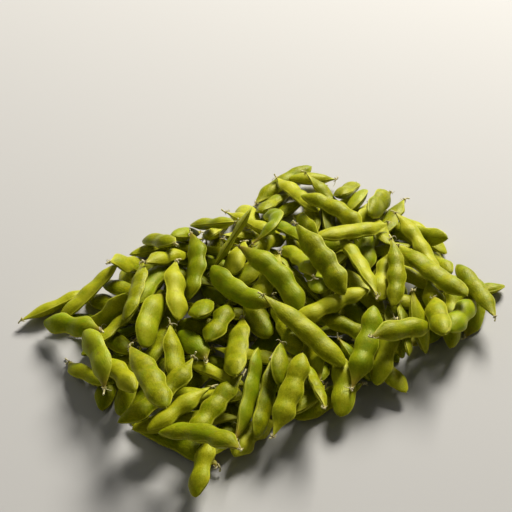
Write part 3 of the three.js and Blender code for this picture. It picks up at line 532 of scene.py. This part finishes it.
def sepals(base, ahead, across, over, scale, rng):
    """The sepals round the stalk's root, as (path, radii, sides, paleness)."""
    start = rng.uniform(0, 2 * np.pi)
    for k in range(SEPALS):
        angle = start + k * 2 * np.pi / SEPALS + rng.uniform(-SEPAL_SWAY, SEPAL_SWAY)
        out = across * math.cos(angle) + over * math.sin(angle)
        root = base + ahead * ROOT_OFF + out * ROOT_OFF
        first = unit(out - ahead * SEPAL_BACK)
        path = curl(root, first, -ahead, rng.uniform(*SEPAL_LENGTHS), SEPAL_BEND, len(SEPAL_SHAPE))
        path = lifted(path, FLOOR_GAP + SEPAL_RISE)
        yield path, SEPAL_THICK * scale * SEPAL_SHAPE, THIN_SIDES, np.full(len(path), SEPAL_PALE)


def withered_thread(base, ahead, across, over, balls, rng):
    """One fine thread, as (path, radii, sides, paleness)."""
    tries = []
    for _ in range(THREAD_TRIES):
        out = any_way(across, over, rng)
        aside = np.cross(out, ahead) * rng.uniform(*THREAD_ASIDE)
        aside = unit(aside - ahead * rng.uniform(*THREAD_BACK))
        first = unit(out + ahead * rng.uniform(*THREAD_AHEAD))
        length = rng.uniform(*THREAD_LENGTHS)
        bend = rng.uniform(*THREAD_BENDS)
        tries.append(curl(base + out * ROOT_OFF, first, aside, length, bend, THREAD_STEPS))
    along = np.linspace(0, 1, THREAD_STEPS)
    radii = THREAD_THICK * (1 - THREAD_THIN * along)
    return clearest(tries, balls), radii, THIN_SIDES, np.full(THREAD_STEPS, THREAD_PALE)


def dry_end(base, ahead, across, threads, balls, scale, rng):
    """The stalk with its sepals and threads, each as (path, radii, sides, paleness)."""
    over = np.cross(ahead, across)
    parts = [stalk(base, ahead, across, over, balls, scale, rng)]
    parts += sepals(base, ahead, across, over, scale, rng)
    for _ in range(threads):
        parts.append(withered_thread(base, ahead, across, over, balls, rng))
    return parts


# ---- whole pods ---------------------------------------------------------------------------------

TOP_DETAIL = {"rows": 84, "sides": 36, "threads": 3}
LOWER_DETAIL = {"rows": 58, "sides": 28, "threads": 2}
FIRST_SEED = 11
FAR_OFF = 40  # cm that a pod may be moved by in the skin's noise, either way


def fine_pod(pod, number, heap, rows, sides, threads, rng):
    """Points, faces and marks of one pod in its place."""
    kind, scale = KINDS[pod["kind"]], pod["scale"]
    local, marks = skin_rings(kind, scale, rows, sides, rng)
    body = lifted(local @ pod["turn"].T + pod["place"], SKIN_GAP)
    points = [body]
    faces = grid_faces(rows, sides)
    pale = [np.zeros(len(local))]
    count = len(local)

    base, side = spine(kind, np.array([STALK_ROOT]))
    base = pod["turn"] @ (base[0] * scale) + pod["place"]
    across = pod["turn"] @ side[0]
    ahead = np.cross(across, pod["turn"] @ UP)
    if np.dot(ahead, base - body.mean(axis=0)) < 0:
        ahead = -ahead
    balls = heap.around(base, number)
    for path, radii, around, paleness in dry_end(base, ahead, across, threads, balls, scale, rng):
        points.append(tube(path, radii, around))
        faces += grid_faces(len(path), around, count)
        pale.append(np.repeat(paleness, around))
        count += len(points[-1])
    extra = count - len(local)
    marks = {name: np.concatenate([mark, np.zeros(extra)]) for name, mark in marks.items()}
    marks["pod_dry"][len(local):] = 1
    marks["pod_pale"] = np.concatenate(pale)
    return np.vstack(points), faces, marks


def add_piece(name, pods, heap, rows, sides, threads, material):
    """One mesh for all the pods of a CAD node."""
    points, faces, marks, places, tones = [], [], [], [], []
    count = 0
    for number, pod in pods:
        rng = np.random.default_rng(number + FIRST_SEED)
        own, own_faces, own_marks = fine_pod(pod, number, heap, rows, sides, threads, rng)
        faces += [[count + k for k in face] for face in own_faces]
        count += len(own)
        points.append(own)
        marks.append(own_marks)
        centimetres = (own - pod["place"]) @ pod["turn"] * CM_PER_MM
        places.append(centimetres + rng.uniform(-FAR_OFF, FAR_OFF, 3))
        tones.append(np.tile(rng.uniform(0, 1, 3), (len(own), 1)))
    mesh = bpy.data.meshes.new(name)
    mesh.from_pydata((np.vstack(points) * MM).tolist(), [], faces)
    mesh.polygons.foreach_set("use_smooth", np.ones(len(mesh.polygons), bool))
    for key in marks[0]:
        attribute = mesh.attributes.new(key, "FLOAT", "POINT")
        values = np.concatenate([mark[key] for mark in marks]).astype(np.float32)
        attribute.data.foreach_set("value", values)
    for key, vectors in (("pod_place", places), ("pod_tone", tones)):
        attribute = mesh.attributes.new(key, "FLOAT_VECTOR", "POINT")
        attribute.data.foreach_set("vector", np.vstack(vectors).astype(np.float32).ravel())
    mesh.materials.append(material)
    piece = bpy.data.objects.new(name, mesh)
    bpy.context.scene.collection.objects.link(piece)
    return piece


# ---- the skin's material ------------------------------------------------------------------------

USUAL = (0.3, 0.7)  # what a noise mostly stays between


class Nodes:
    """A short way to write a material's nodes."""

    def __init__(self, name):
        self.material = bpy.data.materials.new(name)
        self.material.use_nodes = True
        self.tree = self.material.node_tree
        self.shader = self.tree.nodes["Principled BSDF"]

    def add(self, kind, inputs, **settings):
        node = self.tree.nodes.new(kind)
        for key, value in settings.items():
            setattr(node, key, value)
        for key, value in inputs.items():
            self.put(node.inputs[key], value)
        return node

    def put(self, socket, value):
        if isinstance(value, bpy.types.NodeSocket):
            self.tree.links.new(value, socket)
        else:
            socket.default_value = value

    def mark(self, name, output="Fac"):
        return self.add("ShaderNodeAttribute", {}, attribute_name=name).outputs[output]

    def math(self, operation, *operands, clamp=False):
        inputs = dict(enumerate(operands))
        return self.add("ShaderNodeMath", inputs, operation=operation, use_clamp=clamp).outputs[0]

    def times(self, one, two):
        return self.math("MULTIPLY", one, two)

    def plus(self, first, *more):
        for operand in more:
            first = self.math("ADD", first, operand)
        return first

    def fit(self, value, low, high, to_low=0.0, to_high=1.0):
        inputs = {"Value": value, "From Min": low, "From Max": high, "To Min": to_low, "To Max": to_high}
        return self.add("ShaderNodeMapRange", inputs, interpolation_type="SMOOTHSTEP").outputs[0]

    def noise(self, place, scale, detail, roughness):
        inputs = {"Vector": place, "Scale": scale, "Detail": detail, "Roughness": roughness}
        return self.add("ShaderNodeTexNoise", inputs).outputs["Fac"]

    def sway(self, noise, spread):
        """A noise as a shift by up to spread, either way."""
        return self.fit(noise, *USUAL, -spread, spread)

    def blend(self, share, one, two):
        node = self.tree.nodes.new("ShaderNodeMix")
        node.data_type = "RGBA"
        colours = [socket for socket in node.inputs if socket.type == "RGBA"]
        self.put(node.inputs[0], share)
        self.put(colours[0], one)
        self.put(colours[1], two)
        return [socket for socket in node.outputs if socket.type == "RGBA"][0]

    def ramp(self, value, stops):
        node = self.add("ShaderNodeValToRGB", {"Fac": value})
        elements = node.color_ramp.elements
        while len(elements) < len(stops):
            elements.new(0.5)
        for element, (position, colour) in zip(elements, stops):
            element.position = position
            element.color = colour
        return node.outputs["Color"]


DEEP_GREEN = (0.105, 0.125, 0.0005, 1)
MID_GREEN = (0.225, 0.240, 0.001, 1)
LIGHT_GREEN = (0.410, 0.412, 0.010, 1)
YELLOW_GREEN = (0.510, 0.505, 0.026, 1)
LEAF_GREEN = (0.200, 0.310, 0.003, 1)
WARM_GREEN = (0.430, 0.345, 0.004, 1)
SEAM_GREEN = (0.650, 0.640, 0.055, 1)
DRY_TAN = (0.480, 0.390, 0.120, 1)
CREAM = (0.900, 0.800, 0.520, 1)
BROWN = (0.230, 0.150, 0.015, 1)
GLOSS = (1.0, 0.98, 0.15, 1)
TONES = ((0.0, DEEP_GREEN), (0.32, MID_GREEN), (0.62, LIGHT_GREEN), (1.0, YELLOW_GREEN))

# Noises, as waves to the centimetre, detail and roughness.
PATCHES = (1.1, 2.0, 0.5)
LEAFY = (1.7, 3.0, 0.6)
WARM = (2.3, 3.0, 0.65)
WORN = (2.6, 2.0, 0.5)
MOTTLE = (3.2, 4.0, 0.62)
VEINS = (8.0, 3.0, 0.55)
SPECKS = (11.0, 3.0, 0.6)
GRAIN = (20.0, 2.0, 0.7)
DOWN = (34.0, 2.0, 0.6)

# How far each of these shifts a pod's place in TONES.
TONE_SPREAD = 0.22
PATCH_SPREAD = 0.11
MOTTLE_SPREAD = 0.075
SPECK_SPREAD = 0.1
GRAIN_SPREAD = 0.1
# Beans are painted lighter over their bulges: a painted highlight.
BEAN_PAINTED_HIGHLIGHT = 0.1
# The creases between beans are painted darker: painted shade.
FOLD_PAINTED_SHADE = -0.08

# From and to where a noise or a pod's own tone has its effect, and how strong that is at either.
PATCHES_FIT = (0.25, 0.75, -PATCH_SPREAD, PATCH_SPREAD)
LEAFY_FIT = (0.44, 0.68, 0.0, 0.34)
LEAFY_POD_FIT = (0.5, 1.0, 0.0, 0.4)
WARM_FIT = (0.53, 0.7, 0.0, 0.3)
WORN_FIT = (0.6, 0.74)
WORN_POD_FIT = (0.45, 1.0)
TIRED_POD_FIT = (0.3, 1.0)
DRY_FIT = (*USUAL, 0.6, 1.1)
DRY_BROWN_FIT = (0.4, 0.65, 0.0, 0.5)
ROUGHNESS_FIT = (*USUAL, 0.34, 0.47)
SEAM_SHARE, GROOVE_SHADE_SHARE, WORN_SHARE = 0.75, 0.8, 0.4
DRY_ROUGHER = 0.3

REFLECTANCE = 0.15
SUBSURFACE = 0.12
SUBSURFACE_RADIUS = (0.8, 1.0, 0.2)
SUBSURFACE_SCALE = 2.5 * MM
VEIN_STRETCH = (0.5, 1.8, 1.0)  # veins run along the pod
VEIN_HEIGHT, SPECK_HEIGHT, DOWN_HEIGHT = 0.7, 0.35, 0.14
BUMP_STRENGTH = 0.5
BUMP_HEIGHT = 0.6 * MM


def pod_skin(name, brightness):
    """Satin, faintly downy skin: each pod has a tone of its own, mottled from green to yellow."""
    n = Nodes(name)
    place = n.mark("pod_place", "Vector")
    tone = n.add("ShaderNodeSeparateXYZ", {"Vector": n.mark("pod_tone", "Vector")}).outputs
    mottle = n.noise(place, *MOTTLE)
    specks = n.noise(place, *SPECKS)

    green = n.plus(
        n.fit(tone[0], 0.0, 1.0, brightness - TONE_SPREAD, brightness + TONE_SPREAD),
        n.fit(n.noise(place, *PATCHES), *PATCHES_FIT),
        n.sway(mottle, MOTTLE_SPREAD),
        n.sway(specks, SPECK_SPREAD),
        n.sway(n.noise(place, *GRAIN), GRAIN_SPREAD),
        # painted highlight on the bean bulges
        n.times(n.mark("pod_bean"), BEAN_PAINTED_HIGHLIGHT),
        # painted shade in the creases between beans
        n.times(n.mark("pod_fold"), FOLD_PAINTED_SHADE),
    )
    leafy = n.plus(n.fit(tone[1], *LEAFY_POD_FIT), n.fit(n.noise(place, *LEAFY), *LEAFY_FIT))
    colour = n.blend(leafy, n.ramp(green, TONES), LEAF_GREEN)
    colour = n.blend(n.fit(n.noise(place, *WARM), *WARM_FIT), colour, WARM_GREEN)
    # The seams are painted paler: partly their own paler colour, partly a painted highlight along the
    # ridges.
    colour = n.blend(n.times(n.mark("pod_seam"), SEAM_SHARE), colour, SEAM_GREEN)
    # The front seam's groove is painted deep green: painted shade in the recess.
    colour = n.blend(n.times(n.mark("pod_groove"), GROOVE_SHADE_SHARE), colour, DEEP_GREEN)

    worn = n.times(n.fit(n.noise(place, *WORN), *WORN_FIT), n.fit(tone[2], *WORN_POD_FIT))
    tired = n.times(n.mark("pod_neck"), n.fit(tone[1], *TIRED_POD_FIT))
    colour = n.blend(n.math("MAXIMUM", n.times(worn, WORN_SHARE), tired), colour, BROWN)

    dry = n.math("MULTIPLY", n.mark("pod_dry"), n.fit(mottle, *DRY_FIT), clamp=True)
    dry_colour = n.blend(n.fit(specks, *DRY_BROWN_FIT), DRY_TAN, BROWN)
    dry_colour = n.blend(n.mark("pod_pale"), dry_colour, CREAM)
    n.put(n.shader.inputs["Base Color"], n.blend(dry, colour, dry_colour))
    rough = n.plus(n.fit(mottle, *ROUGHNESS_FIT), n.times(dry, DRY_ROUGHER))
    n.put(n.shader.inputs["Roughness"], rough)
    n.put(n.shader.inputs["Specular IOR Level"], REFLECTANCE)
    n.put(n.shader.inputs["Specular Tint"], GLOSS)
    n.put(n.shader.inputs["Subsurface Weight"], SUBSURFACE)
    n.put(n.shader.inputs["Subsurface Radius"], SUBSURFACE_RADIUS)
    n.put(n.shader.inputs["Subsurface Scale"], SUBSURFACE_SCALE)

    along = n.add("ShaderNodeMapping", {"Vector": place, "Scale": VEIN_STRETCH}).outputs[0]
    height = n.plus(
        n.times(n.noise(along, *VEINS), VEIN_HEIGHT),
        n.times(specks, SPECK_HEIGHT),
        n.times(n.noise(place, *DOWN), DOWN_HEIGHT),
    )
    bump = {"Height": height, "Strength": BUMP_STRENGTH, "Distance": BUMP_HEIGHT}
    n.put(n.shader.inputs["Normal"], n.add("ShaderNodeBump", bump).outputs[0])
    return n.material


# ---- the heap -----------------------------------------------------------------------------------

TOP_BRIGHTNESS, SHADED_BRIGHTNESS = 0.54, 0.44  # the places in TONES that pods vary about; the lower pods' one is darker, painted shade for lying under the others

skin = pod_skin("pod skin", TOP_BRIGHTNESS)
# The lower pods' skin is a darker copy: painted shade.
shaded_skin = pod_skin("shaded pod skin", SHADED_BRIGHTNESS)

pods_by_node = {}
all_pods = []
for name, node in sorted(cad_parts.items()):
    found = []
    for corners in pods_of(node):
        share, pod = fit(corners)
        if share < LEAST_SHARE:
            raise SystemExit(f"a pod of {name} wasn't recognised")
        found.append(pod)
    found.sort(key=lambda pod: tuple(pod["place"]))
    pods_by_node[name] = list(enumerate(found, len(all_pods)))
    all_pods += found

heap = Heap(all_pods)
for name, pods in pods_by_node.items():
    loose = name.startswith("pod_")
    detail = TOP_DETAIL if loose else LOWER_DETAIL
    piece = add_piece("fine_" + name, pods, heap, material=skin if loose else shaded_skin, **detail)
    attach(piece, "root")
    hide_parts(name)

# ---- floor --------------------------------------------------------------------------------------

FLOOR_SIZE = 6
FLOOR_COLOUR = (0.56, 0.55, 0.53, 1)
FLOOR_ROUGHNESS = 0.9
FLOOR_REFLECTANCE = 0.1

bpy.ops.mesh.primitive_plane_add(size=FLOOR_SIZE, location=(0, 0, 0))
floor = bpy.context.object
floor.name = "floor"
paint = Nodes("floor")
paint.put(paint.shader.inputs["Base Color"], FLOOR_COLOUR)
paint.put(paint.shader.inputs["Roughness"], FLOOR_ROUGHNESS)
paint.put(paint.shader.inputs["Specular IOR Level"], FLOOR_REFLECTANCE)
floor.data.materials.append(paint.material)

# ---- camera -------------------------------------------------------------------------------------

AZIMUTH = math.radians(-38.9)
ELEVATION = math.radians(39.6)
DISTANCE = 0.875
HEAP_MIDDLE = Vector((0.0, 0.0, 0.012))
HEAP_RIGHT, HEAP_BELOW = 0.013, 0.029  # of the frame's centre
FOCAL_PIXELS, FRAME_PIXELS = 1430, 512  # focal length and width of the picture
SENSOR = 36
NEAREST = 0.01

level = math.cos(ELEVATION)
back = Vector((math.sin(AZIMUTH) * level, -math.cos(AZIMUTH) * level, math.sin(ELEVATION)))
right = Vector((-back.y, back.x, 0)).normalized()
away = Vector((-back.x, -back.y, 0)).normalized()
above = Vector((0, 0, 1))
aim = HEAP_MIDDLE - right * HEAP_RIGHT + back.cross(right) * HEAP_BELOW

camera = bpy.data.cameras.new("camera")
camera.sensor_width = SENSOR
camera.lens = FOCAL_PIXELS / FRAME_PIXELS * SENSOR
camera.clip_start = NEAREST
viewer = bpy.data.objects.new("camera", camera)
bpy.context.scene.collection.objects.link(viewer)
viewer.location = aim + back * DISTANCE
viewer.rotation_euler = back.to_track_quat("Z", "Y").to_euler()
bpy.context.scene.camera = viewer

# ---- light --------------------------------------------------------------------------------------

KEY = {
    "offset": (right * 0.45 + away * 1.08 + above * 0.85) * 1.6,
    "size": 0.83,
    "power": 98,
    "colour": (1.0, 0.97, 0.91),
}
FILL = {
    "offset": (right * -1.0 + away * 0.1 + above * 0.8) * 1.5,
    "size": 1.2,
    "power": 2.5,
    "colour": (1.0, 1.0, 1.0),
}
STUDIO_COLOUR = (1.0, 0.99, 0.97, 1)
STUDIO_STRENGTH = 0.07


def area_light(name, offset, size, power, colour):
    """A square softbox that faces the heap."""
    data = bpy.data.lights.new(name, "AREA")
    data.size = size
    data.energy = power
    data.color = colour
    lamp = bpy.data.objects.new(name, data)
    bpy.context.scene.collection.objects.link(lamp)
    lamp.location = HEAP_MIDDLE + offset
    lamp.rotation_euler = (-offset).to_track_quat("-Z", "Y").to_euler()


area_light("key", **KEY)
area_light("fill", **FILL)

world = bpy.data.worlds.new("studio")
world.use_nodes = True
studio = world.node_tree.nodes["Background"]
studio.inputs["Color"].default_value = STUDIO_COLOUR
studio.inputs["Strength"].default_value = STUDIO_STRENGTH
bpy.context.scene.world = world
bpy.context.scene.view_settings.view_transform = "Standard"
